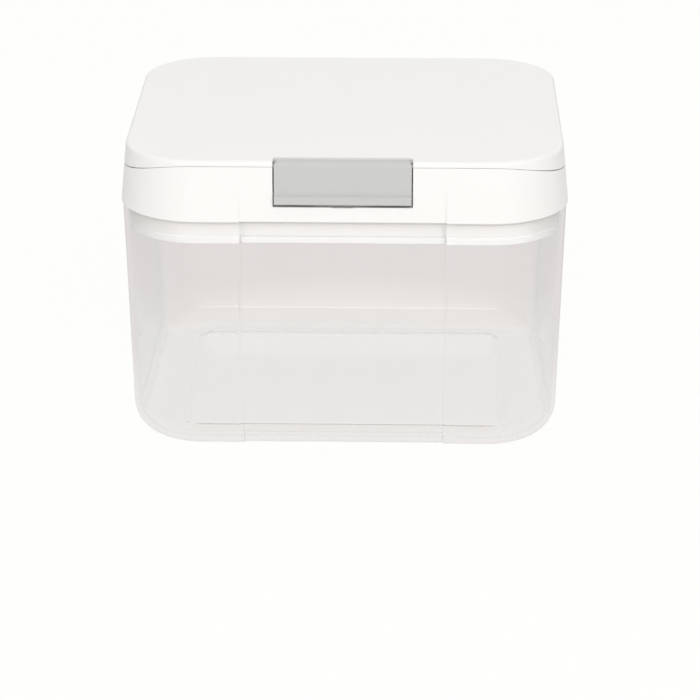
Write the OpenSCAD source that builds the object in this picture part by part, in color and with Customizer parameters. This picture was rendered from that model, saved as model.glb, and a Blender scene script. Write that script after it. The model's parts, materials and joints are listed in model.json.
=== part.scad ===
// Clear bin with a flip lid, a plug-in collar and a pull-up latch, for laundry pods.
// Frame: +Z up, origin on the floor under the middle of the bin, the latch faces -Y.

/* [Plan] */
// Width across the lower edge of the collar
body_w = 220; // [190:1:260]
// Depth across the lower edge of the collar
body_d = 186; // [160:1:230]
// Plan radius of the corners at that edge
corner_r = 39; // [34:0.5:46]

/* [Bin] */
// Height of the bin to the top of its rim
bin_h = 127.6; // [90:0.2:180]
// Wall and floor thickness of the bin
bin_wall = 2.6; // [2.2:0.1:3.2]
// Draft of the bin's wall, in degrees
bin_draft = 1.46; // [0.6:0.02:2]
// Radius of the rounded bottom edge
base_r = 15; // [10:0.5:18]
// Set-back of the bin's wall behind the collar's edge
bin_inset = 0.7; // [0.3:0.1:1.2]
// Half width of the raised middle of the floor, at half its rise
kick_x = 80; // [60:1:86]
// Half depth of the raised middle of the floor, at half its rise
kick_y = 66; // [50:1:70]
// Plan radius at the corners of the raised floor
kick_r = 8; // [6:0.5:12]
// Rise of the middle of the floor
kick_h = 1.6; // [0.8:0.1:2.4]
// Width of the slope round the raised floor
kick_slope = 2.4; // [1:0.1:3]

/* [Front panel] */
// Width of the set-back panel on the front
panel_w = 100; // [84:1:130]
// Depth of the panel's step on the bin
panel_step = 1.2; // [0.6:0.1:1.3]
// Depth of the panel's step at the collar's lower edge
panel_lip = 1.0; // [0.5:0.1:1.2]
// Height over which the collar's step fades out
panel_fade = 18; // [12:0.5:18]

/* [Collar] */
// Lap of the collar's skirt over the bin's rim
rim_lap = 5.4; // [4:0.2:8]
// Height of the collar's front above its lower edge
collar_h = 27; // [25:0.5:36]
// Draft of the collar and the lid, in degrees
collar_draft = 5.8; // [3:0.1:7]
// Thickness of the collar's outer skirt
skirt_t = 1.5; // [1.3:0.1:1.8]
// Thickness of the collar's deck
deck_t = 2; // [1.6:0.1:2.6]
// Depth of the plug below the top of the bin's rim
plug_h = 17.4; // [12:0.2:24]
// Thickness of the plug
plug_t = 2.9; // [2.8:0.1:3.4]
// Gap between the plug and the bin's wall
plug_gap = 0.35; // [0.2:0.05:0.5]
// Thickness of the upstand round the mouth
mouth_t = 1.8; // [1.4:0.1:2.4]
// Extra set-back of the mouth at the front, behind the latch
mouth_back = 5.8; // [5.6:0.1:9]
// Drop from the top of the collar's front to the top of the upstand
mouth_drop = 2.2; // [2:0.1:3]
// Height of the seal round the foot of the plug
seal_h = 3.6; // [2.4:0.1:5]
// Thickness of that seal
seal_t = 1.7; // [1.5:0.1:1.9]

/* [Lid] */
// Thickness of the lid's plate
lid_t = 2.4; // [2.2:0.1:3]
// Radius of the lid's top edge
lid_edge_r = 2; // [1:0.1:2.1]
// Height of the lid's side skirt below its plate
lid_skirt_h = 8.3; // [6:0.1:10]
// Thickness of the lid's side skirt
lid_skirt_t = 1.6; // [1.3:0.1:1.8]
// Parting gap below the lid's side skirt
part_gap = 0.8; // [0.5:0.1:1]
// Parting gap below the lid's front edge
front_gap = 0.4; // [0.3:0.1:0.6]
// Gap between the lid's skirt and the upstand
mouth_gap = 0.6; // [0.4:0.1:1]
// Squeeze gap between the lid's gasket and the upstand
gasket_gap = 0.3; // [0.2:0.05:0.4]
// Width of the lid's gasket
gasket_w = 3.8; // [3:0.1:4.4]
// Depth of the rib that keeps the gasket in place
rib_h = 4.2; // [3:0.1:4.4]
// Thickness of that rib
rib_t = 1.4; // [1:0.1:2]

/* [Hinge] */
// Distance of each hinge from the middle
hinge_x = 50; // [36:1:62]
// Radius of the hinge knuckles
knuckle_r = 2.6; // [2.2:0.1:2.7]
// Width of the lid's knuckle
lid_knuckle_w = 12; // [8:0.5:16]
// Width of each of the collar's knuckles
collar_knuckle_w = 6; // [4:0.5:9]
// Side gap between neighbouring knuckles
knuckle_gap = 0.4; // [0.3:0.05:0.8]
// Radius of the hinge pin
pin_r = 1.2; // [0.9:0.05:1.3]
// Height of the knuckles' gussets
gusset_h = 6.5; // [4:0.5:7]

/* [Latch] */
// Width of the latch
latch_w = 66; // [50:1:76]
// Height of the latch from the lid's top to the end of its lip
latch_h = 19.8; // [17:0.2:21]
// Radius of the latch's barrel
barrel_r = 3.2; // [3:0.1:3.4]
// Thickness of the latch's plate
latch_t = 2.4; // [1.8:0.1:2.6]
// Height of the flared lip
lip_rise = 3.4; // [2.4:0.1:4.4]
// Reach of the flared lip beyond the face
lip_out = 1.5; // [0.8:0.1:2]
// Radius of the latch's top corners
latch_round = 2.8; // [2.4:0.1:3]
// Gap at each side of the latch
latch_gap = 0.7; // [0.4:0.1:1]
// Radius of the latch's stub pins
stub_r = 1.1; // [0.9:0.05:1.2]
// Thickness of the lid's ears that hold the stub pins
ear_t = 3; // [2:0.1:4]
// Gap under the lip, down to the sill of the window
sill_gap = 1.5; // [1:0.1:2]
// Half width of the notch in the sill
notch_x = 5; // [3:0.5:9]
// Width of the collar's catch behind the latch
catch_w = 28; // [16:1:40]
// Height of that catch above the deck
catch_h = 8; // [7.6:0.1:9]
// Gap between the latch's hook and the catch's bead
catch_gap = 0.3; // [0.2:0.05:0.5]

/* [Hidden] */
$fn = 96;
// Running clearance round pins, overlap of joined shapes and over-run of cuts
run_fit = 0.05;
overlap = 0.4;
cut = 1;
// Small clearances and skins
rim_gap = 0.15;
rim_ease = 0.5;
shoulder_gap = 0.3;
pocket_gap = 0.3;
ear_wall = 0.95;
ear_gap = 0.5;
notch_gap = 0.5;
notch_ease = 0.4;
stub_gap = 0.2;
gasket_lead = 0.4;
rib_gap = 0.3;
fascia_skin = 0.8;
relief_d = 10;
// Main heights and the corners' centres
cx = body_w / 2 - corner_r;
cy = body_d / 2 - corner_r;
collar_z = bin_h - rim_lap;
front_z = collar_z + collar_h;
plate_z = front_z + front_gap;
top_z = plate_z + lid_t;
skirt_z = plate_z - lid_skirt_h;
ledge_z = skirt_z - part_gap;
fade_z = collar_z + panel_fade;
shoulder_z = collar_z - shoulder_gap;
plug_z = bin_h - plug_h;
mouth_z = front_z - mouth_drop;
deck_top = bin_h + deck_t;

// Set-back of the bin's outer wall, of the collar's outer face and of the bin's inner wall
function bin_n(z) = bin_inset + (collar_z - z) * tan(bin_draft);
function face_n(z) = (z - collar_z) * tan(collar_draft);
function inner_n(z) = bin_n(z) + bin_wall / cos(bin_draft);
function face_y(z) = face_n(z) - body_d / 2;
// Point of a section: set-back from the collar's lower edge, and height
function at(n, z) = [corner_r - n, z];

// Shift of the slope's inside face that keeps the floor as thick as the wall
kick_lap = bin_wall * tan(atan2(kick_h, kick_slope) / 2);
rim_n = skirt_t + face_n(bin_h) + rim_gap;
plug_n = inner_n(plug_z) + plug_gap;
seal_n = inner_n(plug_z) + run_fit;
mouth_n = face_n(plate_z) + lid_skirt_t + mouth_gap;
base_c = corner_r - bin_n(0) + base_r * tan(bin_draft) - base_r / cos(bin_draft);

// The parting surface sweeps up to the front on two arcs; the lid's starts later, so the gap closes
sweep_lead = 2;
gap_lead = 1.4;
lid_sweep_y = cy + sweep_lead;
collar_sweep_y = lid_sweep_y - gap_lead;
function arc_r(run, rise) = (run * run + rise * rise) / (2 * rise);
lid_sweep_r = arc_r(-face_y(plate_z) - lid_sweep_y, plate_z - skirt_z);
collar_sweep_r = arc_r(-face_y(front_z) - collar_sweep_y, front_z - ledge_z);

// Axis of the lid's hinge and of the latch
hinge_z = skirt_z - part_gap / 2;
hinge_y = body_d / 2 - face_n(hinge_z);
latch_z = top_z - barrel_r;
latch_y = -body_d / 2 + face_n(latch_z) + barrel_r / cos(collar_draft);
hinge_span = lid_knuckle_w + 2 * collar_knuckle_w + 2 * knuckle_gap;
// Span of a collar knuckle, from the hinge's middle
knuckle_a = lid_knuckle_w / 2 + knuckle_gap;
knuckle_b = knuckle_a + collar_knuckle_w;
// Latch, its lip, its window in the collar's front and its notch in the lid
lip_z = top_z - latch_h;
sill_z = lip_z - sill_gap;
window_x = latch_w / 2 + latch_gap;
ear_r = stub_r + ear_wall;
pocket_r = knuckle_r + pocket_gap;
crease_z = lip_z + lip_rise;
lip_round = 0.9;
notch_r = latch_round - notch_ease;
notch_y = latch_y + barrel_r + notch_gap;
// Hook behind the latch and the bead that it snaps under
hook_h = 2.4;
hook_out = 1;
hook_z = crease_z - hook_h / 2;
bead_r = 0.5;
catch_t = 1.4;
catch_y = face_y(hook_z) + latch_t + hook_out + catch_gap + bead_r;
// Lid's gasket and its rib
gasket_n = mouth_n - gasket_lead;
rib_n = gasket_n + gasket_w + rib_gap;

white = [0.94, 0.94, 0.93];
grey = [0.62, 0.63, 0.64];
clear = [0.80, 0.85, 0.88, 0.35];
silicone = [0.97, 0.97, 0.97];
steel = [0.72, 0.73, 0.75];

// Quarter turn of a section about one corner's centre; back shifts the front centres back
module corner(sx, sy, back = 0, x = cx, y = cy) {
    turn = sy > 0 ? (sx > 0 ? 0 : 90) : (sx > 0 ? 270 : 180);
    translate([sx * x, sy > 0 ? y : back - y, 0])
        rotate([0, 0, turn])
            rotate_extrude(angle = 90)
                children();
}

// Straight run of a section, from one end to the other along its wall
module run(turn, reach, from, to) {
    rotate([0, 0, turn])
        translate([reach, to, 0])
            rotate([90, 0, 0])
                linear_extrude(to - from)
                    children();
}

// Sides, back and rear corners of a ring
module ring_rear(back = 0) {
    for (sx = [-1, 1])
        corner(sx, 1)
            children();
    run(0, cx, back - cy, cy) children();
    run(180, cx, -cy, cy - back) children();
    run(90, cy, -cx, cx) children();
}

// Front corners of a ring
module ring_front_corners(back = 0) {
    for (sx = [-1, 1])
        corner(sx, -1, back)
            children();
}

// Front runs at both sides of the panel
module ring_front_sides() {
    run(270, cy, -cx, -panel_w / 2) children();
    run(270, cy, panel_w / 2, cx) children();
}

// Front run across the panel
module ring_panel() {
    run(270, cy, -panel_w / 2, panel_w / 2) children();
}

// Whole ring apart from the front panel
module ring_sides() {
    ring_rear() children();
    ring_front_corners() children();
    ring_front_sides() children();
}

// Front panel of a ring, set back by the step
module set_back_panel() {
    ring_panel()
        translate([-panel_step, 0])
            children();
}

// Whole ring whose front panel is set back by the step
module stepped_ring() {
    ring_sides() children();
    set_back_panel() children();
}

// Whole ring round the mouth, with its front set back behind the latch
module mouth_ring() {
    ring_rear(mouth_back) children();
    ring_front_corners(mouth_back) children();
    run(270, cy - mouth_back, -cx, cx) children();
}

// Solid pad with a given edge section, about corner centres at the given half distances
module pad(x, y, z_low, z_high) {
    for (sx = [-1, 1], sy = [-1, 1])
        corner(sx, sy, 0, x, y)
            children();
    for (side = [0, 180]) {
        run(side, x, -y, y) children();
        run(side + 90, y, -x, x) children();
    }
    translate([-x, -y, z_low])
        cube([2 * x, 2 * y, z_high - z_low]);
}

// Prism across the whole width, from a section in depth and height
module across(half) {
    translate([-half, 0, 0])
        rotate([90, 0, 90])
            linear_extrude(2 * half)
                children();
}

// Rectangle with round corners, given by its half sizes
module round_rect(x, y, r) {
    square([2 * (x - r), 2 * y], center = true);
    square([2 * x, 2 * (y - r)], center = true);
    for (sx = [-1, 1], sy = [-1, 1])
        translate([sx * (x - r), sy * (y - r)])
            circle(r);
}

// Quarter of a disc, outwards and upwards from its centre
module quarter_disc(r) {
    intersection() {
        circle(r);
        square(r);
    }
}

// Drafted section with a rounded foot, inside the bin's outer face by the given amount
module bin_core(inside, z) {
    r = base_r - inside;
    polygon([
        [0, inside],
        [base_c, inside],
        [base_c, base_r],
        [base_c + r * cos(bin_draft), base_r - r * sin(bin_draft)],
        [corner_r - bin_n(z) - inside / cos(bin_draft), z],
        [0, z]
    ]);
    translate([base_c, base_r])
        mirror([0, 1])
            quarter_disc(r);
}

// Pad with a sloped edge, whose upper edge lies inside its lower edge by the slope's width
module floor_pad(lap, z_low, z_foot) {
    foot = kick_r + kick_slope / 2 + lap;
    top = z_foot + kick_h;
    pad(kick_x - kick_r, kick_y - kick_r, z_low, top)
        polygon([[0, z_low], [foot, z_low], [foot, z_foot], [foot - kick_slope, top], [0, top]]);
}

// Wall of the bin, with a rim that is rebated on the outside under the collar's skirt
module bin_section(rim) {
    difference() {
        union() {
            bin_core(0, shoulder_z);
            translate([0, shoulder_z - cut])
                square([corner_r - rim, bin_h - shoulder_z + cut]);
        }
        bin_core(bin_wall, bin_h + cut);
    }
}

module bin() {
    color(clear)
        difference() {
            union() {
                ring_sides() bin_section(rim_n);
                set_back_panel() bin_section(rim_n - rim_ease);
                translate([-cx, -cy, 0])
                    cube([2 * cx, 2 * cy, bin_wall]);
                floor_pad(kick_lap, bin_wall / 2, bin_wall);
            }
            floor_pad(0, -cut, 0);
        }
}

// Outer skirt of the collar up to the given height
module skirt_section(z) {
    polygon([
        at(0, collar_z),
        at(skirt_t, collar_z),
        at(face_n(z) + skirt_t, z),
        at(face_n(z), z)
    ]);
}

// Skirt across the front panel, whose step fades out upwards
module panel_skirt_section() {
    polygon([
        at(panel_lip, collar_z),
        at(panel_lip + skirt_t, collar_z),
        at(face_n(fade_z) + skirt_t, fade_z),
        at(face_n(front_z) + skirt_t, front_z),
        at(face_n(front_z), front_z),
        at(face_n(fade_z), fade_z)
    ]);
}

// Plug below the deck, rebated at its foot for the seal
module plug_section() {
    polygon([
        at(plug_n, deck_top),
        at(plug_n, plug_z + seal_h),
        at(seal_n + seal_t, plug_z + seal_h),
        at(seal_n + seal_t, plug_z),
        at(plug_n + plug_t, plug_z),
        at(plug_n + plug_t, deck_top)
    ]);
}

// Upstand that carries the mouth's sealing edge
module mouth_section() {
    translate(at(mouth_n + mouth_t, bin_h))
        square([mouth_t, mouth_z - bin_h]);
}

// Plan of a ring at the given set-back, with its front set back further
module plan(n, back = 0) {
    translate([0, back / 2])
        round_rect(body_w / 2 - n, (body_d - back) / 2 - n, corner_r - n);
}

// Deck that closes the channel between the skirt, the plug and the upstand
module deck() {
    translate([0, 0, bin_h])
        linear_extrude(deck_t)
            difference() {
                plan(face_n(bin_h) + skirt_t - overlap);
                plan(mouth_n + mouth_t, mouth_back);
            }
}

// Front of the collar across the panel, with the latch's window and relief for the lid's ears
module collar_panel() {
    ear_room = ear_t + ear_gap;
    relief_y = face_y(front_z) + fascia_skin + relief_d / 2;
    difference() {
        ring_panel() panel_skirt_section();
        translate([-window_x, -body_d, sill_z])
            cube([2 * window_x, body_d, top_z - sill_z]);
        translate([-notch_x, -body_d, deck_top])
            cube([2 * notch_x, body_d, top_z - deck_top]);
        for (sx = [-1, 1])
            translate([sx * (window_x + ear_room / 2), relief_y, latch_z])
                cube([ear_room + 2 * overlap, relief_d, 2 * (ear_r + ear_gap)], center = true);
    }
}

// Piece of the collar's front, cut to the sweep of the lid's lower edge
module swept() {
    difference() {
        children();
        across(body_w)
            translate([-collar_sweep_y, ledge_z + collar_sweep_r])
                circle(collar_sweep_r);
    }
}

// Rib behind the latch with a rounded bead that the latch's hook snaps under
module catch() {
    across(catch_w / 2) {
        translate([catch_y, bin_h + overlap])
            square([catch_t, deck_t + catch_h - overlap]);
        translate([catch_y, deck_top + catch_h - bead_r])
            circle(bead_r);
    }
}

// Round bar along X on the hinge's axis, from one end to the other
module hinge_bar(r, from, to) {
    translate([from, hinge_y, hinge_z])
        rotate([0, 90, 0])
            cylinder(r = r, h = to - from);
}

// Gusset that ties a knuckle to its wall, upwards or downwards
module gusset(rise, from, to) {
    translate([from, hinge_y, hinge_z])
        rotate([90, 0, 90])
            linear_extrude(to - from)
                polygon([
                    [-skirt_t / 2, 0],
                    [knuckle_r, 0],
                    [face_n(hinge_z) - face_n(hinge_z + rise), rise],
                    [-skirt_t / 2 - face_n(hinge_z + rise) + face_n(hinge_z), rise]
                ]);
}

// Running bores for both hinge pins
module pin_bores() {
    for (sx = [-1, 1])
        hinge_bar(pin_r + run_fit, sx * hinge_x - hinge_span, sx * hinge_x + hinge_span);
}

module collar_knuckles() {
    for (sx = [-1, 1], side = [-1, 1]) {
        from = sx * hinge_x + (side > 0 ? knuckle_a : -knuckle_b);
        hinge_bar(knuckle_r, from, from + collar_knuckle_w);
        gusset(-gusset_h, from, from + collar_knuckle_w);
    }
}

// Sides and back of the collar's skirt, with a pocket for each of the lid's knuckles
module collar_rear() {
    difference() {
        ring_rear() skirt_section(ledge_z);
        for (sx = [-1, 1])
            hinge_bar(pocket_r, sx * hinge_x - knuckle_a, sx * hinge_x + knuckle_a);
    }
}

module collar() {
    color(white)
        difference() {
            union() {
                collar_rear();
                swept() ring_front_corners() skirt_section(front_z);
                swept() ring_front_sides() skirt_section(front_z);
                swept() collar_panel();
                stepped_ring() plug_section();
                mouth_ring() mouth_section();
                deck();
                catch();
                collar_knuckles();
            }
            pin_bores();
        }
}

module collar_seal() {
    color(silicone)
        stepped_ring()
            translate(at(seal_n + seal_t, plug_z))
                square([seal_t, seal_h]);
}

// Lid's section from the corner's centre out to its rounded edge and down its skirt
module lid_section() {
    edge_z = top_z - lid_edge_r;
    edge_n = face_n(edge_z) + lid_edge_r / cos(collar_draft);
    polygon([
        at(face_n(skirt_z), skirt_z),
        at(edge_n - lid_edge_r * cos(collar_draft), edge_z + lid_edge_r * sin(collar_draft)),
        at(edge_n, edge_z),
        at(edge_n, top_z),
        [0, top_z],
        [0, plate_z],
        at(face_n(plate_z) + lid_skirt_t, plate_z),
        at(face_n(skirt_z) + lid_skirt_t, skirt_z)
    ]);
    translate(at(edge_n, edge_z))
        quarter_disc(lid_edge_r);
}

// Front of the lid from side to side, whose lower edge sweeps up to the front
module lid_front() {
    difference() {
        union() {
            ring_front_corners() lid_section();
            run(270, cy, -cx, cx) lid_section();
        }
        across(body_w)
            difference() {
                translate([-body_d, skirt_z - lid_skirt_h])
                    square([body_d - lid_sweep_y, plate_z - skirt_z + lid_skirt_h]);
                translate([-lid_sweep_y, skirt_z + lid_sweep_r])
                    circle(lid_sweep_r);
            }
    }
}

// Strip that ends at the given place, with its two corners there rounded
module end_rounded(half, y, r) {
    translate([-half, -body_d])
        square([2 * half, body_d + y - r]);
    translate([r - half, -body_d])
        square([2 * (half - r), body_d + y]);
    for (sx = [-1, 1])
        translate([sx * (half - r), y - r])
            circle(r);
}

// Notch in the lid's front edge for the latch's barrel
module latch_notch() {
    translate([0, 0, skirt_z])
        linear_extrude(top_z - skirt_z + cut)
            end_rounded(window_x, notch_y, notch_r);
}

// Bar along X on the latch's axis
module latch_bar(r, from, to) {
    translate([from, latch_y, latch_z])
        rotate([0, 90, 0])
            cylinder(r = r, h = to - from);
}

// Ears below the lid's plate that hold the latch
module lid_ears() {
    for (sx = [-1, 1]) {
        from = sx > 0 ? window_x : -window_x - ear_t;
        latch_bar(ear_r, from, from + ear_t);
        translate([from, latch_y - ear_r, latch_z])
            cube([ear_t, 2 * ear_r, plate_z - latch_z + overlap]);
    }
}

// Plate and skirt of the lid
module lid_shell() {
    ring_rear() lid_section();
    lid_front();
    translate([-cx, -cy, plate_z])
        cube([2 * cx, 2 * cy, lid_t]);
}

// Pockets in the lid's skirt for the collar's knuckles
module lid_pockets() {
    for (sx = [-1, 1], side = [-1, 1]) {
        from = sx * hinge_x - knuckle_gap + (side > 0 ? knuckle_a : -knuckle_b);
        hinge_bar(pocket_r, from, from + collar_knuckle_w + 2 * knuckle_gap);
    }
}

module lid_knuckles() {
    for (sx = [-1, 1]) {
        from = sx * hinge_x - lid_knuckle_w / 2;
        hinge_bar(knuckle_r, from, from + lid_knuckle_w);
        gusset(gusset_h, from, from + lid_knuckle_w);
    }
}

// Rib below the lid's plate, inside the gasket
module gasket_rib() {
    mouth_ring()
        translate(at(rib_n + rib_t, plate_z - rib_h))
            square([rib_t, rib_h + overlap]);
}

module flip_lid() {
    color(white)
        difference() {
            union() {
                difference() {
                    lid_shell();
                    latch_notch();
                    lid_pockets();
                }
                gasket_rib();
                lid_ears();
                lid_knuckles();
            }
            pin_bores();
            latch_bar(stub_r + run_fit, -body_w / 2, body_w / 2);
        }
}

module lid_gasket() {
    color(silicone)
        mouth_ring()
            translate(at(gasket_n + gasket_w, mouth_z + gasket_gap))
                square([gasket_w, plate_z - mouth_z - gasket_gap]);
}

// Latch's section in depth and height: barrel, drafted face, crease and rounded flared lip
module latch_section() {
    lip_y = face_y(lip_z) - lip_out + lip_round;
    polygon([
        [latch_y - barrel_r * cos(collar_draft), latch_z + barrel_r * sin(collar_draft)],
        [face_y(crease_z), crease_z],
        [lip_y - lip_round, lip_z + lip_round],
        [lip_y + lip_round, lip_z + lip_round],
        [face_y(crease_z) + latch_t, crease_z],
        [face_y(latch_z) + latch_t, latch_z],
        [latch_y, latch_z]
    ]);
    translate([latch_y, latch_z])
        circle(barrel_r);
    translate([lip_y, lip_z + lip_round])
        circle(lip_round);
}

// Hook on the back of the latch's plate
module latch_hook() {
    across(catch_w / 2)
        translate([face_y(hook_z) + latch_t, hook_z])
            polygon([
                [-latch_t / 2, -hook_h / 2],
                [hook_out, -hook_h / 4],
                [hook_out, hook_h / 4],
                [-latch_t / 2, hook_h / 2 + hook_out]
            ]);
}

module latch() {
    stub = window_x + ear_t - stub_gap;
    color(grey)
        union() {
            intersection() {
                across(latch_w / 2) latch_section();
                translate([0, 0, lip_z - cut])
                    linear_extrude(latch_h + 2 * cut)
                        end_rounded(latch_w / 2, latch_y + barrel_r, latch_round);
                rotate([90, 0, 0])
                    linear_extrude(body_d)
                        end_rounded(latch_w / 2, top_z, latch_round);
            }
            latch_bar(stub_r, -stub, stub);
            latch_hook();
        }
}

module hinge_pin(sx) {
    color(steel)
        hinge_bar(pin_r, sx * hinge_x - hinge_span / 2, sx * hinge_x + hinge_span / 2);
}

module hinge_pin_left() {
    hinge_pin(-1);
}

module hinge_pin_right() {
    hinge_pin(1);
}

bin();
collar();
collar_seal();
flip_lid();
lid_gasket();
latch();
hinge_pin_left();
hinge_pin_right();
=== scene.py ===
import json
import math

import bmesh
import bpy
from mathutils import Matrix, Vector

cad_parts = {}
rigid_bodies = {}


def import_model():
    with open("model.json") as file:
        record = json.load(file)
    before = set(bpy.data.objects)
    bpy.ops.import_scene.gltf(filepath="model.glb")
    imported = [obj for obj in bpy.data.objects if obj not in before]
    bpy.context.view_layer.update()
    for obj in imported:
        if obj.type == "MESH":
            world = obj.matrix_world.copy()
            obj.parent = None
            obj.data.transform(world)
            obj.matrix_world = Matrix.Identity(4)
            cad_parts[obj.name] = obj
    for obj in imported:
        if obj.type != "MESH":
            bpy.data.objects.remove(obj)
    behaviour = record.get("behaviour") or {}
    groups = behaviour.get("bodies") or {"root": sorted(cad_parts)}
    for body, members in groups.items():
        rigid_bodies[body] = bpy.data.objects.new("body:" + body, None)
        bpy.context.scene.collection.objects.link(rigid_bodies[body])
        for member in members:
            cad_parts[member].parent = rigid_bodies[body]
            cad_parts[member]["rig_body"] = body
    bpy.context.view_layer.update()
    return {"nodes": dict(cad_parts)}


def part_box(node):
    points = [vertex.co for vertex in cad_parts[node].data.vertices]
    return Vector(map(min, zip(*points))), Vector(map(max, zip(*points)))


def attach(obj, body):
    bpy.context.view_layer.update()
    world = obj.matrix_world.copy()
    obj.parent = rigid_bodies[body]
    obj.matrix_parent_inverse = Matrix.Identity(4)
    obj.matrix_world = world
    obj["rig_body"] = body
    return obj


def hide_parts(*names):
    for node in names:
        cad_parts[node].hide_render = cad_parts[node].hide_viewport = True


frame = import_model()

mm = 0.001
scene = bpy.context.scene
print("frame loaded:", len(frame["nodes"]), "nodes")


# camera at the photo's viewing angle
shot = {
    "place": (32.78, -1379.88, 576.20),  # mm
    "pitch": 22.0,                       # degrees down
    "yaw": -1.203,                       # degrees to the left
    "focal": 2838.3,                     # pixels in a 700 pixel frame
    "frame": 700,
    "middle": (354.64, 350.54),          # principal point, pixels
}


def setCamera():
    data = bpy.data.cameras.new("shotCamera")
    data.sensor_width = 36
    data.lens = shot["focal"] * data.sensor_width / shot["frame"]
    data.shift_x = (shot["frame"] / 2 - shot["middle"][0]) / shot["frame"]
    data.shift_y = (shot["middle"][1] - shot["frame"] / 2) / shot["frame"]
    data.clip_start, data.clip_end = 0.05, 60
    camera = bpy.data.objects.new("shotCamera", data)
    scene.collection.objects.link(camera)
    pitch, yaw = math.radians(shot["pitch"]), math.radians(shot["yaw"])
    ahead = Vector((math.sin(yaw) * math.cos(pitch), math.cos(yaw) * math.cos(pitch), -math.sin(pitch)))
    camera.location = Vector(shot["place"]) * mm
    camera.rotation_euler = ahead.to_track_quat("-Z", "Y").to_euler()
    scene.camera = camera


setCamera()
print("camera set")


# small helpers for node trees
def addNode(tree, kind, place, **values):
    node = tree.nodes.new(kind)
    node.location = place
    for name, value in values.items():
        if hasattr(node, name):
            setattr(node, name, value)
        else:
            node.inputs[name.replace("_", " ")].default_value = value
    return node


def newMaterial(name):
    material = bpy.data.materials.new(name)
    material.use_nodes = True
    tree = material.node_tree
    tree.nodes.clear()
    output = addNode(tree, "ShaderNodeOutputMaterial", (900, 0))
    return material, tree, output


# studio: pale floor, soft room light, one large soft key lamp in front and above
studio = {
    "floorSize": 16.0,         # metres
    "floorDrop": 0.15,         # mm below the part
    "floorColour": (0.95, 0.95, 0.94, 1),
    "floorWhite": 0.92,        # share of plain white in what is seen of the floor
    "whiteSeen": (1, 1, 0.99, 1),
    "paintedShadeNear": (0.880, 0.847, 0.826, 1),  # painted shade: tone of the floor's glow seen under clear walls and in reflections, near the middle
    "paintedShadeFar": (0.778, 0.735, 0.722, 1),   # the same painted shade farther out, darker
    "paintedShadeTurn": (0.11, 0.18),              # metres from the middle, from near to far painted shade
    "paintedSideShadeRange": (0.24, 0.60),              # metres to each side over which a painted shade dims the floor's glow
    "paintedSideShadeGlow": 0.30,                    # painted shade: share of the floor's glow left beyond that
    "roomLight": 1.15,
    "roomSides": 0.52,         # light from straight left and right
    "roomFade": (0.45, 1.0),   # sideways part of a direction, from full light to side light
    "keySize": (3.4, 1.0),     # metres
    "keyPlace": (0.25, -1.55, 1.30),
    "keyPower": 14.0,          # watts
    "keyTarget": (0, 0, 0.09),
}


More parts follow.
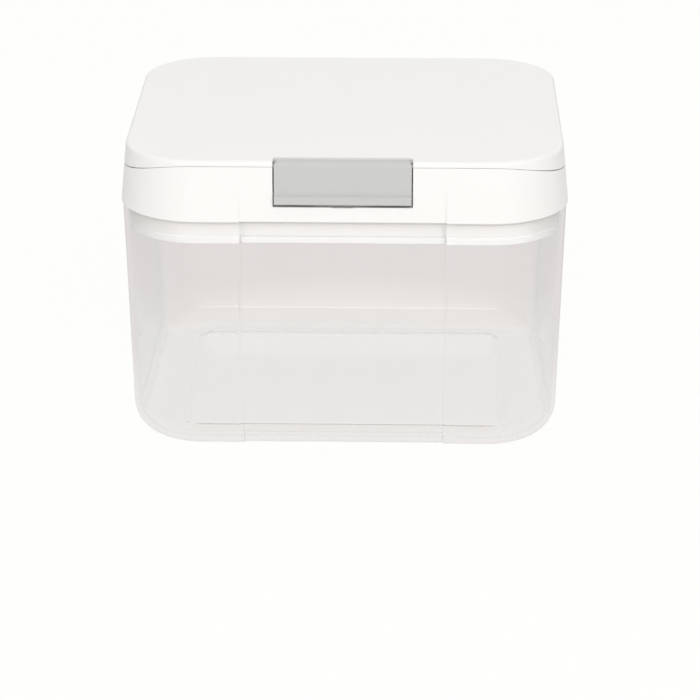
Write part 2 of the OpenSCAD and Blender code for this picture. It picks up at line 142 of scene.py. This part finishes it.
def makeFloor():
    size = studio["floorSize"] / 2
    mesh = bpy.data.meshes.new("studioFloor")
    drop = -studio["floorDrop"] * mm
    mesh.from_pydata([(-size, -size, drop), (size, -size, drop), (size, size, drop), (-size, size, drop)],
                     [], [(0, 1, 2, 3)])
    floor = bpy.data.objects.new("studioFloor", mesh)
    scene.collection.objects.link(floor)
    material, tree, output = newMaterial("floorPaper")
    matt = addNode(tree, "ShaderNodeBsdfDiffuse", (300, 100), Color=studio["floorColour"])
    white = addNode(tree, "ShaderNodeEmission", (300, -100))
    path = addNode(tree, "ShaderNodeLightPath", (-300, 300))
    seen = addNode(tree, "ShaderNodeMath", (-100, 300), operation="MAXIMUM")
    clear = addNode(tree, "ShaderNodeMath", (100, 300), operation="MAXIMUM")
    share = addNode(tree, "ShaderNodeMath", (250, 300), operation="MULTIPLY")
    share.inputs[1].default_value = studio["floorWhite"]
    mix = addNode(tree, "ShaderNodeMixShader", (600, 0))
    links = tree.links
    # plain white to the camera; to glass and gloss the floor glows with a painted shade, darker farther out
    # and to the sides
    where = addNode(tree, "ShaderNodeTexCoord", (-900, -200))
    split = addNode(tree, "ShaderNodeSeparateXYZ", (-700, -200))
    aside = addNode(tree, "ShaderNodeMath", (-500, -200), operation="ABSOLUTE")
    # painted side shade: the glow fades to a share beyond the sides
    fade = addNode(tree, "ShaderNodeMapRange", (-300, -200), interpolation_type="SMOOTHSTEP")
    fade.inputs["From Min"].default_value, fade.inputs["From Max"].default_value = studio["paintedSideShadeRange"]
    fade.inputs["To Min"].default_value = 1
    fade.inputs["To Max"].default_value = studio["paintedSideShadeGlow"]
    full = addNode(tree, "ShaderNodeMath", (-100, -200), operation="MAXIMUM")
    tone = addNode(tree, "ShaderNodeMix", (0, -400), data_type="RGBA")
    tone.inputs["B"].default_value = studio["whiteSeen"]
    # painted shade: the glow seen in glass and gloss darkens with distance from the middle
    reach = addNode(tree, "ShaderNodeVectorMath", (-500, -500), operation="LENGTH")
    turn = addNode(tree, "ShaderNodeMapRange", (-300, -500), interpolation_type="SMOOTHSTEP")
    turn.inputs["From Min"].default_value, turn.inputs["From Max"].default_value = studio["paintedShadeTurn"]
    paintedShade = addNode(tree, "ShaderNodeMix", (-150, -500), data_type="RGBA")
    paintedShade.inputs["A"].default_value = studio["paintedShadeNear"]
    paintedShade.inputs["B"].default_value = studio["paintedShadeFar"]
    links.new(where.outputs["Object"], reach.inputs[0])
    links.new(reach.outputs["Value"], turn.inputs["Value"])
    links.new(turn.outputs["Result"], paintedShade.inputs["Factor"])
    links.new(paintedShade.outputs["Result"], tone.inputs["A"])
    links.new(where.outputs["Object"], split.inputs[0])
    links.new(split.outputs["X"], aside.inputs[0])
    links.new(aside.outputs[0], fade.inputs["Value"])
    links.new(fade.outputs["Result"], full.inputs[0])
    links.new(path.outputs["Is Camera Ray"], full.inputs[1])
    links.new(path.outputs["Is Camera Ray"], tone.inputs["Factor"])
    links.new(tone.outputs["Result"], white.inputs["Color"])
    links.new(full.outputs[0], white.inputs["Strength"])
    links.new(path.outputs["Is Camera Ray"], seen.inputs[0])
    links.new(path.outputs["Is Glossy Ray"], seen.inputs[1])
    links.new(seen.outputs[0], clear.inputs[0])
    links.new(path.outputs["Is Transmission Ray"], clear.inputs[1])
    links.new(clear.outputs[0], share.inputs[0])
    links.new(share.outputs[0], mix.inputs[0])
    links.new(matt.outputs[0], mix.inputs[1])
    links.new(white.outputs[0], mix.inputs[2])
    links.new(mix.outputs[0], output.inputs["Surface"])
    mesh.materials.append(material)


def makeRoom():
    world = bpy.data.worlds.new("studioRoom")
    scene.world = world
    world.use_nodes = True
    tree = world.node_tree
    tree.nodes.clear()
    output = addNode(tree, "ShaderNodeOutputWorld", (900, 0))
    room = addNode(tree, "ShaderNodeBackground", (400, 100))
    white = addNode(tree, "ShaderNodeBackground", (400, -100), Strength=1.0)
    white.inputs["Color"].default_value = (1, 1, 1, 1)
    where = addNode(tree, "ShaderNodeTexCoord", (-600, 0))
    split = addNode(tree, "ShaderNodeSeparateXYZ", (-400, 0))
    side = addNode(tree, "ShaderNodeMath", (-200, 0), operation="ABSOLUTE")
    fade = addNode(tree, "ShaderNodeMapRange", (0, 0), interpolation_type="SMOOTHSTEP")
    fade.inputs["From Min"].default_value, fade.inputs["From Max"].default_value = studio["roomFade"]
    fade.inputs["To Min"].default_value = studio["roomLight"]
    fade.inputs["To Max"].default_value = studio["roomSides"]
    path = addNode(tree, "ShaderNodeLightPath", (200, 300))
    mix = addNode(tree, "ShaderNodeMixShader", (650, 0))
    links = tree.links
    links.new(where.outputs["Generated"], split.inputs[0])
    links.new(split.outputs["X"], side.inputs[0])
    links.new(side.outputs[0], fade.inputs["Value"])
    links.new(fade.outputs["Result"], room.inputs["Strength"])
    links.new(path.outputs["Is Camera Ray"], mix.inputs[0])
    links.new(room.outputs[0], mix.inputs[1])
    links.new(white.outputs[0], mix.inputs[2])
    links.new(mix.outputs[0], output.inputs["Surface"])


def makeKey():
    data = bpy.data.lights.new("keyLamp", "AREA")
    data.shape = "RECTANGLE"
    data.size, data.size_y = studio["keySize"]
    data.energy = studio["keyPower"]
    lamp = bpy.data.objects.new("keyLamp", data)
    scene.collection.objects.link(lamp)
    lamp.location = studio["keyPlace"]
    aim = Vector(studio["keyTarget"]) - lamp.location
    lamp.rotation_euler = aim.to_track_quat("-Z", "Y").to_euler()
    lamp.visible_glossy = False


makeFloor()
makeRoom()
makeKey()
print("studio made")


# skin shared by the mouldings: fine grain, with shine and tint that wander
skinValues = {
    "Grain Size": 0.4, "Grain Depth": 0.2, "Shine Spread": 0.05, "Base Shine": 0.4, "Tint Spread": 0.02,
}
skinNoise = {
    "grainDetail": 3,
    "grainHeight": 0.05,  # mm
    "cloudScale": 28,     # per metre
    "cloudDetail": 4,
}


def mouldedSkinGroup():
    tree = bpy.data.node_groups.new("mouldedSkin", "ShaderNodeTree")
    sockets = tree.interface
    for name, value in skinValues.items():
        socket = sockets.new_socket(name, in_out="INPUT", socket_type="NodeSocketFloat")
        socket.default_value = value
    colour = sockets.new_socket("Colour", in_out="INPUT", socket_type="NodeSocketColor")
    colour.default_value = (0.8, 0.8, 0.8, 1)
    sockets.new_socket("Colour", in_out="OUTPUT", socket_type="NodeSocketColor")
    sockets.new_socket("Roughness", in_out="OUTPUT", socket_type="NodeSocketFloat")
    sockets.new_socket("Height", in_out="OUTPUT", socket_type="NodeSocketFloat")
    start = addNode(tree, "NodeGroupInput", (-900, 0))
    end = addNode(tree, "NodeGroupOutput", (900, 0))
    links = tree.links
    where = addNode(tree, "ShaderNodeTexCoord", (-900, 300))
    pitch = addNode(tree, "ShaderNodeMath", (-700, 200), operation="DIVIDE")
    pitch.inputs[0].default_value = 1 / mm
    links.new(start.outputs["Grain Size"], pitch.inputs[1])
    grain = addNode(tree, "ShaderNodeTexNoise", (-450, 250))
    grain.inputs["Detail"].default_value = skinNoise["grainDetail"]
    links.new(where.outputs["Object"], grain.inputs["Vector"])
    links.new(pitch.outputs[0], grain.inputs["Scale"])
    cloud = addNode(tree, "ShaderNodeTexNoise", (-450, 0))
    cloud.inputs["Scale"].default_value = skinNoise["cloudScale"]
    cloud.inputs["Detail"].default_value = skinNoise["cloudDetail"]
    links.new(where.outputs["Object"], cloud.inputs["Vector"])
    # grain height
    lift = addNode(tree, "ShaderNodeMath", (0, 300), operation="MULTIPLY")
    links.new(grain.outputs["Fac"], lift.inputs[0])
    links.new(start.outputs["Grain Depth"], lift.inputs[1])
    links.new(lift.outputs[0], end.inputs["Height"])
    # shine wanders a little with the flow of the moulding
    centre = addNode(tree, "ShaderNodeMath", (-200, 0), operation="SUBTRACT")
    centre.inputs[1].default_value = 0.5
    links.new(cloud.outputs["Fac"], centre.inputs[0])
    spread = addNode(tree, "ShaderNodeMath", (0, 0), operation="MULTIPLY")
    links.new(centre.outputs[0], spread.inputs[0])
    links.new(start.outputs["Shine Spread"], spread.inputs[1])
    shine = addNode(tree, "ShaderNodeMath", (200, 0), operation="ADD")
    links.new(spread.outputs[0], shine.inputs[0])
    links.new(start.outputs["Base Shine"], shine.inputs[1])
    links.new(shine.outputs[0], end.inputs["Roughness"])
    # colour wanders less
    drift = addNode(tree, "ShaderNodeMath", (0, -250), operation="MULTIPLY")
    links.new(centre.outputs[0], drift.inputs[0])
    links.new(start.outputs["Tint Spread"], drift.inputs[1])
    gain = addNode(tree, "ShaderNodeMath", (200, -250), operation="ADD")
    gain.inputs[1].default_value = 1
    links.new(drift.outputs[0], gain.inputs[0])
    tint = addNode(tree, "ShaderNodeVectorMath", (450, -250), operation="SCALE")
    links.new(start.outputs["Colour"], tint.inputs[0])
    links.new(gain.outputs[0], tint.inputs["Scale"])
    links.new(tint.outputs[0], end.inputs["Colour"])
    return tree


mouldedSkin = mouldedSkinGroup()


def skinnedShader(tree, finish):
    skin = addNode(tree, "ShaderNodeGroup", (0, 0))
    skin.node_tree = mouldedSkin
    for name in skinValues:
        skin.inputs[name].default_value = finish[name]
    skin.inputs["Colour"].default_value = finish["colour"]
    shader = addNode(tree, "ShaderNodeBsdfPrincipled", (500, 0))
    bump = addNode(tree, "ShaderNodeBump", (250, -250))
    bump.inputs["Strength"].default_value = finish["bump"]
    bump.inputs["Distance"].default_value = skinNoise["grainHeight"] * mm
    links = tree.links
    links.new(skin.outputs["Colour"], shader.inputs["Base Color"])
    links.new(skin.outputs["Roughness"], shader.inputs["Roughness"])
    links.new(skin.outputs["Height"], bump.inputs["Height"])
    links.new(bump.outputs["Normal"], shader.inputs["Normal"])
    return shader


def plainPlastic(name, finish):
    material, tree, output = newMaterial(name)
    shader = skinnedShader(tree, finish)
    shader.inputs["IOR"].default_value = finish["ior"]
    tree.links.new(shader.outputs[0], output.inputs["Surface"])
    return material


whitePlastic = plainPlastic("whitePlastic", {
    "colour": (0.895, 0.885, 0.866, 1), "ior": 1.49, "bump": 0.25,
    "Grain Size": 0.35, "Grain Depth": 0.3, "Shine Spread": 0.10, "Base Shine": 0.34, "Tint Spread": 0.02,
})
greyPlastic = plainPlastic("greyPlastic", {
    "colour": (0.555, 0.553, 0.543, 1), "ior": 1.49, "bump": 0.3,
    "Grain Size": 0.3, "Grain Depth": 0.4, "Shine Spread": 0.10, "Base Shine": 0.42, "Tint Spread": 0.03,
})
silicone = plainPlastic("silicone", {
    "colour": (0.91, 0.91, 0.905, 1), "ior": 1.41, "bump": 0.3,
    "Grain Size": 0.2, "Grain Depth": 0.3, "Shine Spread": 0.12, "Base Shine": 0.6, "Tint Spread": 0.02,
})


def clearPlasticMaterial():
    finish = {
        "colour": (0.980, 0.980, 0.979, 1), "ior": 1.53, "bump": 0.06,
        "edge": (0.74, 0.82, 0.86, 1), "edgePower": 3,
        "through": (0.88, 0.88, 0.88, 1), "turns": 7,
        "Grain Size": 9.0, "Grain Depth": 1.0, "Shine Spread": 0.03, "Base Shine": 0.025, "Tint Spread": 0.01,
    }
    material, tree, output = newMaterial("clearPlastic")
    shader = skinnedShader(tree, finish)
    shader.inputs["IOR"].default_value = finish["ior"]
    shader.inputs["Transmission Weight"].default_value = 1.0
    # a longer way through the wall shows more of its tint
    facing = addNode(tree, "ShaderNodeLayerWeight", (-100, 500), Blend=0.5)
    steep = addNode(tree, "ShaderNodeMath", (100, 500), operation="POWER")
    steep.inputs[1].default_value = finish["edgePower"]
    tint = addNode(tree, "ShaderNodeMix", (300, 400), data_type="RGBA")
    tint.inputs["B"].default_value = finish["edge"]
    body = shader.inputs["Base Color"].links[0].from_socket
    links = tree.links
    links.new(facing.outputs["Facing"], steep.inputs[0])
    links.new(steep.outputs[0], tint.inputs["Factor"])
    links.new(body, tint.inputs["A"])
    links.new(tint.outputs["Result"], shader.inputs["Base Color"])
    # lamps shine through the wall
    through = addNode(tree, "ShaderNodeBsdfTransparent", (500, -500))
    through.inputs["Color"].default_value = finish["through"]
    path = addNode(tree, "ShaderNodeLightPath", (500, 300))
    mix = addNode(tree, "ShaderNodeMixShader", (750, 0))
    # light caught in the wall leaves it after a few turns
    caught = addNode(tree, "ShaderNodeMath", (600, 500), operation="GREATER_THAN")
    caught.inputs[1].default_value = finish["turns"]
    leaves = addNode(tree, "ShaderNodeMath", (700, 300), operation="MAXIMUM")
    links.new(path.outputs["Ray Depth"], caught.inputs[0])
    links.new(caught.outputs[0], leaves.inputs[0])
    links.new(path.outputs["Is Shadow Ray"], leaves.inputs[1])
    links.new(leaves.outputs[0], mix.inputs[0])
    links.new(shader.outputs[0], mix.inputs[1])
    links.new(through.outputs[0], mix.inputs[2])
    links.new(mix.outputs[0], output.inputs["Surface"])
    return material


def drawnSteelMaterial():
    finish = {
        "colour": (0.70, 0.71, 0.72, 1), "bump": 0.2,
        "Grain Size": 0.15, "Grain Depth": 0.4, "Shine Spread": 0.15, "Base Shine": 0.28, "Tint Spread": 0.04,
    }
    material, tree, output = newMaterial("drawnSteel")
    shader = skinnedShader(tree, finish)
    shader.inputs["Metallic"].default_value = 1.0
    tree.links.new(shader.outputs[0], output.inputs["Surface"])
    return material


clearPlastic = clearPlasticMaterial()
drawnSteel = drawnSteelMaterial()
print("materials made")


# which edges of a piece are rounded and which stay crisp
edgeRules = {
    "weld": 0.002,   # mm, points that are one
    "flat": 0.3,     # degrees, faces that are one
    "soften": 32.0,  # degrees, edges that get a rounding
    "rounds": 2,     # faces across a rounding
    "crisp": 40.0,   # degrees, edges that stay sharp in the shading
}


# puts a finished mesh in the place of a node
def standFor(node, mesh, material):
    mesh.polygons.foreach_set("use_smooth", [True] * len(mesh.polygons))
    mesh.set_sharp_from_angle(angle=math.radians(edgeRules["crisp"]))
    mesh.materials.append(material)
    piece = bpy.data.objects.new(mesh.name, mesh)
    scene.collection.objects.link(piece)
    evened = piece.modifiers.new("evenShading", "WEIGHTED_NORMAL")
    evened.keep_sharp = True
    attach(piece, frame["nodes"][node]["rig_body"])
    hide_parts(node)
    print(mesh.name, len(mesh.polygons), "faces")


# a moulding with softened edges, from the solid's own faces
def softened(node, pieceName, radius, material, before=None, after=None, crease=None):
    source = frame["nodes"][node]
    work = bmesh.new()
    work.from_mesh(source.data)
    bmesh.ops.remove_doubles(work, verts=work.verts, dist=edgeRules["weld"] * mm)
    flat = math.radians(edgeRules["flat"])
    bmesh.ops.dissolve_limit(work, angle_limit=flat, verts=work.verts, edges=work.edges)
    if before:
        before(work)
    turn = math.radians(edgeRules["soften"])
    edges = [e for e in work.edges if len(e.link_faces) == 2
             and (e.calc_face_angle(0) > turn or (crease and crease(e)))]
    bmesh.ops.bevel(work, geom=edges, offset=radius * mm, segments=edgeRules["rounds"], profile=0.5,
                    affect="EDGES", clamp_overlap=True, harden_normals=False)
    if after:
        after(work)
    bmesh.ops.recalc_face_normals(work, faces=work.faces)
    mesh = bpy.data.meshes.new(pieceName)
    work.to_mesh(mesh)
    work.free()
    standFor(node, mesh, material)


# clear bin, lofted ring by ring in fine steps so that the wall bends light evenly
clearBinShape = {
    "centre": (71.0, 54.0),       # mm, centres of the plan's corners
    "cornerRadius": 39.0,         # to the collar's lower edge
    "wall": 2.6,
    "draft": 1.46,                # degrees
    "inset": 0.7,                 # behind the collar's lower edge
    "collarZ": 122.2,
    "shoulderZ": 121.9,
    "topZ": 127.6,
    "footRadius": 15.0,
    "footRun": 1.1,               # flat rim beside the rounded foot, in foot radii
    "rimSetBack": 2.2,
    "rimRound": 0.4,
    "panelHalf": 50.0,
    "panelStep": 1.2,
    "panelRim": 0.7,              # step of the rim's outer face
    "stepWidth": 2.4,
    "kickCentre": (72.0, 58.0),   # the raised rectangle of the floor
    "kickRadius": 8.0,
    "kickRise": 1.6,
    "kickSlope": 4.6,
    "kickRound": 8.0,
    "kickRun": 3.0,               # fine rings beside the slope
    "turnSteps": 22,              # faces round a plan corner
    "frontSteps": 40,             # faces along half of the front
    "stepSteps": 8,               # faces across a panel step
    "sideSteps": 12,              # faces along the sides and back
    "bendStep": 5.0,              # degrees between the points of a rounded edge
}


# corners of an open path, each rounded with its own radius
def roundedPath(points, radii, bendStep):
    path = [points[0]]
    for before, here, after, radius in zip(points, points[1:], points[2:], radii):
        a = (Vector(before) - Vector(here)).normalized()
        b = (Vector(after) - Vector(here)).normalized()
        corner = a.angle(b)
        middle = Vector(here) + (a + b).normalized() * radius / math.sin(corner / 2)
        start = Vector(here) + a * radius / math.tan(corner / 2) - middle
        end = Vector(here) + b * radius / math.tan(corner / 2) - middle
        turn = start.angle_signed(end)
        steps = max(2, math.ceil(abs(math.degrees(turn)) / bendStep))
        base = math.atan2(start.y, start.x)
        for step in range(steps + 1):
            angle = base - turn * step / steps
            path.append((middle.x + radius * math.cos(angle), middle.y + radius * math.sin(angle)))
    path.append(points[-1])
    return path


# rings of the bin's skin from the raised floor's underside, out, up, over the rim and in again
def clearBinRings():
    s = clearBinShape
    slant = math.tan(math.radians(s["draft"]))
    thick = s["wall"] / math.cos(math.radians(s["draft"]))
    lap = s["wall"] * math.tan(math.atan2(s["kickRise"], s["kickSlope"]) / 2)
    half, rise, bend = s["kickSlope"] / 2, s["kickRise"], s["bendStep"]

    def outside(z):
        return s["inset"] + (s["collarZ"] - z) * slant

    def floorRings(shift, z, inwards):
        reach = half + s["kickRun"]
        points = [
            (shift - reach, z + rise), (shift - half, z + rise), (shift + half, z), (shift + reach, z),
        ]
        rings = roundedPath(points, [s["kickRound"]] * 2, bend)
        if inwards:
            rings.reverse()
        return [s["kickCentre"] + (s["kickRadius"] + grow, height, 0.0) for grow, height in rings]

    flat = outside(0) + s["footRadius"] * s["footRun"]
    points = [
        (flat, 0), (outside(0), 0), (outside(s["shoulderZ"]), s["shoulderZ"]),
        (s["rimSetBack"], s["shoulderZ"]), (s["rimSetBack"], s["topZ"]),
        (outside(s["topZ"]) + thick, s["topZ"]),
        (outside(s["wall"]) + thick, s["wall"]), (flat, s["wall"]),
    ]
    edge = s["rimRound"]
    radii = [s["footRadius"], edge, edge / 2, edge, edge, s["footRadius"] - s["wall"]]
    rings = floorRings(0, 0, False)
    rimIn = outside(s["topZ"]) + thick
    for setBack, z in roundedPath(points, radii, bend):
        step = s["panelStep"]
        if z > s["shoulderZ"] and setBack < rimIn:
            share = max(0, (setBack - s["rimSetBack"]) / (rimIn - s["rimSetBack"]))
            step = s["panelRim"] + (s["panelStep"] - s["panelRim"]) * share
        rings.append(s["centre"] + (s["cornerRadius"] - setBack, z, step))
    return rings + floorRings(lap, s["wall"], True)


# places along the front run, closer together at the panel's two steps
def frontPlaces():
    s = clearBinShape
    width, fine, coarse = s["stepWidth"], s["stepSteps"], s["frontSteps"]
    steps = [s["panelHalf"] + width * (k / fine - 0.75) for k in range(fine * 3 // 2 + 1)]
    even = [s["centre"][0] * k / coarse for k in range(coarse + 1)]
    clear = [x for x in even if abs(x - s["panelHalf"]) > width]
    right = sorted(clear + steps)
    return [-x for x in reversed(right)] + right[1:]


def clearBinMesh():
    s = clearBinShape
    front = frontPlaces()
    runs = [k / s["sideSteps"] * 2 - 1 for k in range(s["sideSteps"])]
    quarter = [math.pi / 2 * k / s["turnSteps"] for k in range(s["turnSteps"])]

    def setBack(x, step):
        t = (s["panelHalf"] + s["stepWidth"] / 2 - abs(x)) / s["stepWidth"]
        t = min(1, max(0, t))
        return step * t * t * (3 - 2 * t)

    def ring(cx, cy, r, z, step):
        points = [(x * cx / s["centre"][0], -cy - r + setBack(x, step)) for x in front[:-1]]
        points += [(cx + r * math.sin(a), -cy - r * math.cos(a)) for a in quarter]
        points += [(cx + r, cy * t) for t in runs]
        points += [(cx + r * math.cos(a), cy + r * math.sin(a)) for a in quarter]
        points += [(-cx * t, cy + r) for t in runs]
        points += [(-cx - r * math.sin(a), cy + r * math.cos(a)) for a in quarter]
        points += [(-cx - r, -cy * t) for t in runs]
        points += [(-cx - r * math.cos(a), -cy - r * math.sin(a)) for a in quarter]
        return [(x * mm, y * mm, z * mm) for x, y in points]

    rings = [ring(*values) for values in clearBinRings()]
    count = len(rings[0])
    points = [p for r in rings for p in r]
    last = (len(rings) - 1) * count
    faces = []
    for low in range(0, last, count):
        for i in range(count):
            after = (i + 1) % count
            faces.append((low + i, low + after, low + count + after, low + count + i))
    faces.append(tuple(range(count)))
    faces.append(tuple(last + i for i in reversed(range(count))))
    mesh = bpy.data.meshes.new("clearBin")
    mesh.from_pydata(points, [], faces)
    work = bmesh.new()
    work.from_mesh(mesh)
    bmesh.ops.recalc_face_normals(work, faces=work.faces)
    work.to_mesh(mesh)
    work.free()
    return mesh


standFor("bin", clearBinMesh(), clearPlastic)

# white collar: the sill of the latch's window lies a little lower than the solid's, as in the photo
whiteCollarShape = {
    "edge": 0.12,         # mm, rounding
    "drop": 1.2,          # of the sill
    "notchDrop": 0.4,     # of the sill's middle notch
    "notch": 3.0,         # the notch's points lie within this height below the sill
    "draft": 5.8,         # degrees
    "sillZ": 130.70,
    "windowHalf": 33.75,
    "windowY": -76.0,
    "near": 0.03,         # heights that count as the sill's
}


def lowerSill(work):
    s = whiteCollarShape
    slant = math.tan(math.radians(s["draft"]))
    for vert in work.verts:
        x, y, z = vert.co / mm
        inWindow = abs(x) < s["windowHalf"] and y < s["windowY"]
        if inWindow and -s["notch"] < z - s["sillZ"] < s["near"]:
            drop = s["drop"] if abs(z - s["sillZ"]) < s["near"] else s["notchDrop"]
            vert.co.z -= drop * mm
            vert.co.y -= drop * slant * mm


softened("collar", "whiteCollar", whiteCollarShape["edge"], whitePlastic, before=lowerSill)

# white lid: its front edge sits close on the collar, and the latch's bore is closed at the front corners
whiteLidShape = {
    "edge": 0.12,             # mm, rounding
    "corner": (71.0, 54.0),   # centres of the plan's corners
    "cornerRadius": 39.0,
    "collarZ": 122.2,
    "draft": 5.8,             # degrees
    "skirtZ": 141.3,
    "plateZ": 149.6,
    "sweepY": 56.0,           # where the skirt's lower edge begins to rise
    "frontY": 93.0,
    "bore": (-87.08, 148.8),  # y and z of its axis
    "plugRadius": 1.31,
    "plugFrom": 76.0,
    "plugSteps": 40,          # faces round the plug
    "seat": 0.24,             # how far the front edge comes down
    "seatFrom": (66.0, 84.0),
    "near": 0.02,             # heights that count as the lower edge's
}


# height of the lid's lower edge, which sweeps up to the front on an arc
def lidEdgeZ(y):
    s = whiteLidShape
    slant = math.tan(math.radians(s["draft"]))
    run = s["frontY"] - (s["plateZ"] - s["collarZ"]) * slant - s["sweepY"]
    rise = s["plateZ"] - s["skirtZ"]
    sweep = (run * run + rise * rise) / (2 * rise)
    return s["skirtZ"] + sweep - math.sqrt(sweep ** 2 - (-y - s["sweepY"]) ** 2)


def seatFrontEdge(work):
    s = whiteLidShape
    start, full = s["seatFrom"]
    for vert in work.verts:
        y, z = vert.co.y / mm, vert.co.z / mm
        if y < -start and abs(z - lidEdgeZ(y)) < s["near"]:
            share = min(1, (-y - start) / (full - start))
            vert.co.z -= s["seat"] * share * mm


def closeBoreEnds(work):
    s = whiteLidShape
    slant = math.tan(math.radians(s["draft"]))

    def faceX(y, z):
        radius = s["cornerRadius"] - (z - s["collarZ"]) * slant
        return s["corner"][0] + math.sqrt(radius ** 2 - (-y - s["corner"][1]) ** 2)

    steps = s["plugSteps"]
    outline = []
    for k in range(steps):
        angle = 2 * math.pi * k / steps
        y = s["bore"][0] + s["plugRadius"] * math.cos(angle)
        z = max(lidEdgeZ(y) - s["seat"], s["bore"][1] + s["plugRadius"] * math.sin(angle))
        outline.append((y, z))
    for side in (-1, 1):
        inner = [work.verts.new((side * s["plugFrom"] * mm, y * mm, z * mm)) for y, z in outline]
        outer = [work.verts.new((side * faceX(y, z) * mm, y * mm, z * mm)) for y, z in outline]
        work.faces.new(inner)
        work.faces.new(outer)
        for k in range(steps):
            after = (k + 1) % steps
            work.faces.new((inner[k], inner[after], outer[after], outer[k]))


softened("flip_lid", "whiteLid", whiteLidShape["edge"], whitePlastic,
         before=seatFrontEdge, after=closeBoreEnds)


# grey latch: a deeper lip under the bend than the solid's, down to the lowered sill
greyLatchShape = {
    "edge": 0.25,              # mm, rounding
    "drop": whiteCollarShape["drop"],
    "lip": 1.85,               # height of what comes down
    "bendLift": 1.2,
    "draft": 5.8,              # degrees
    "bendHeights": (1.5, 9.0),  # the bend's edges lie between these, above the lip
    "bendLength": 40.0,        # and are longer
    "bendAngle": 3.0,          # degrees, and turn more
    "level": 0.02,
    "bendDepth": 0.4,          # of its front edges
}
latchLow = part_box("latch")[0][2]


# edges of the bend, which is rounded like the sharp ones
def latchBend(edge):
    s = greyLatchShape
    low, high = (latchLow + height * mm for height in s["bendHeights"])
    a, b = (vert.co for vert in edge.verts)
    level = abs(a.z - b.z) < s["level"] * mm and low < a.z < high
    long = edge.calc_length() > s["bendLength"] * mm
    return level and long and edge.calc_face_angle(0) > math.radians(s["bendAngle"])


def deepenLip(work):
    s = greyLatchShape
    slant = math.tan(math.radians(s["draft"]))
    edges = [edge for edge in work.edges if len(edge.link_faces) == 2 and latchBend(edge)]
    bend = {vert for edge in edges for vert in edge.verts}
    front = min(vert.co.y for vert in bend)
    for vert in bend:
        if vert.co.y < front + s["bendDepth"] * mm:
            vert.co.z += s["bendLift"] * mm
            vert.co.y += s["bendLift"] * slant * mm
    for vert in work.verts:
        if vert.co.z < latchLow + s["lip"] * mm:
            vert.co.z -= s["drop"] * mm


softened("latch", "greyLatch", greyLatchShape["edge"], greyPlastic,
         before=deepenLip, crease=latchBend)

# seals and hinge pins, with the rounding of their edges in mm
sealShape = {"edge": 0.3}
for node, pieceName in (("collar_seal", "collarSeal"), ("lid_gasket", "lidGasket")):
    softened(node, pieceName, sealShape["edge"], silicone)
pinShape = {"edge": 0.15}
for node, pieceName in (("hinge_pin_left", "hingePinLeft"), ("hinge_pin_right", "hingePinRight")):
    softened(node, pieceName, pinShape["edge"], drawnSteel)

scene.view_settings.view_transform = "Standard"
scene.cycles.use_denoising = True
scene.cycles.blur_glossy = 0
scene.cycles.max_bounces = 24
scene.cycles.glossy_bounces = 20
scene.cycles.transmission_bounces = 20
scene.cycles.transparent_max_bounces = 16
print("render settings made")
